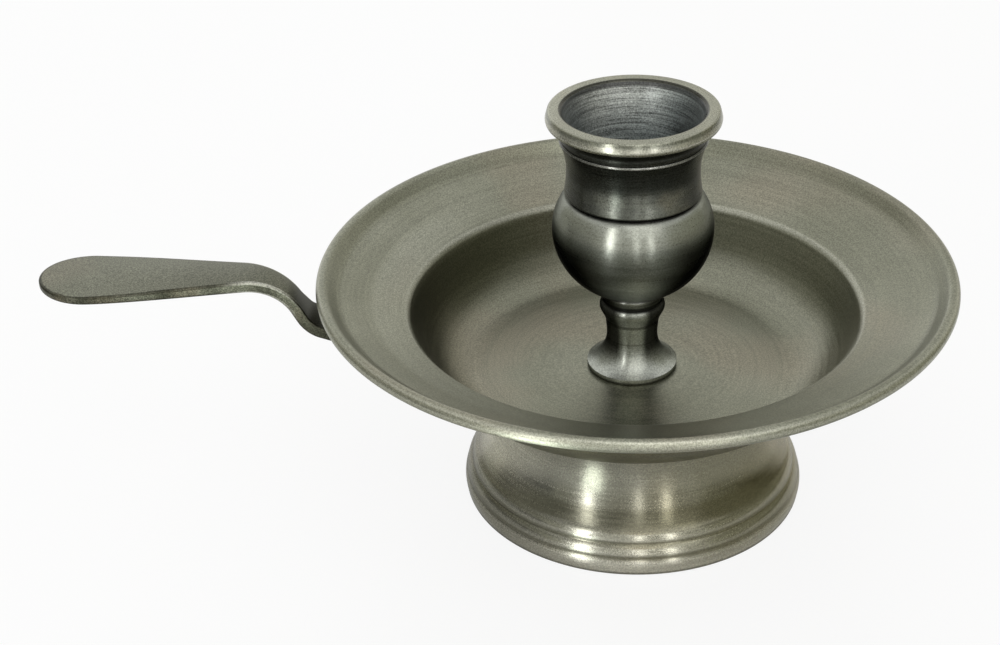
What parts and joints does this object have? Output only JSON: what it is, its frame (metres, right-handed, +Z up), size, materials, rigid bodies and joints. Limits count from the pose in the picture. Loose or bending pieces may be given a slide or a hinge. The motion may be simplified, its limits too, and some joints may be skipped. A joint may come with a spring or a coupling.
{
  "type": "chamberstick candle holder",
  "caption": "Low pewter chamberstick: a broad rimmed dish on a hollow spun foot, a turned vase-shaped candle socket in the middle and a flat cast side handle.",
  "frame": {"origin": "on the candle socket's axis, in the plane of the table the foot stands on", "axes": "+Z up along the candle, -X along the handle, so +X is the side of the dish opposite the handle"},
  "size_m": [0.1754, 0.1216, 0.0812],
  "materials": {
    "spun_pewter": "dull satin pewter, warm olive grey, with fine turning marks and worn high edges",
    "cast_pewter": "dull cast pewter with a fine grain and rubbed edges",
    "turned_pewter": "turned and half polished pewter, darkened in the hollows",
    "steel": "plain zinc plated steel"
  },
  "bodies": {
    "root": {"dish": "spun_pewter", "pedestal_foot": "spun_pewter", "handle": "cast_pewter", "socket_collar": "turned_pewter", "socket_cup": "turned_pewter", "socket_stem": "turned_pewter", "fixing_screw": "steel", "screw_washer": "steel"}
  },
  "joints": []
}
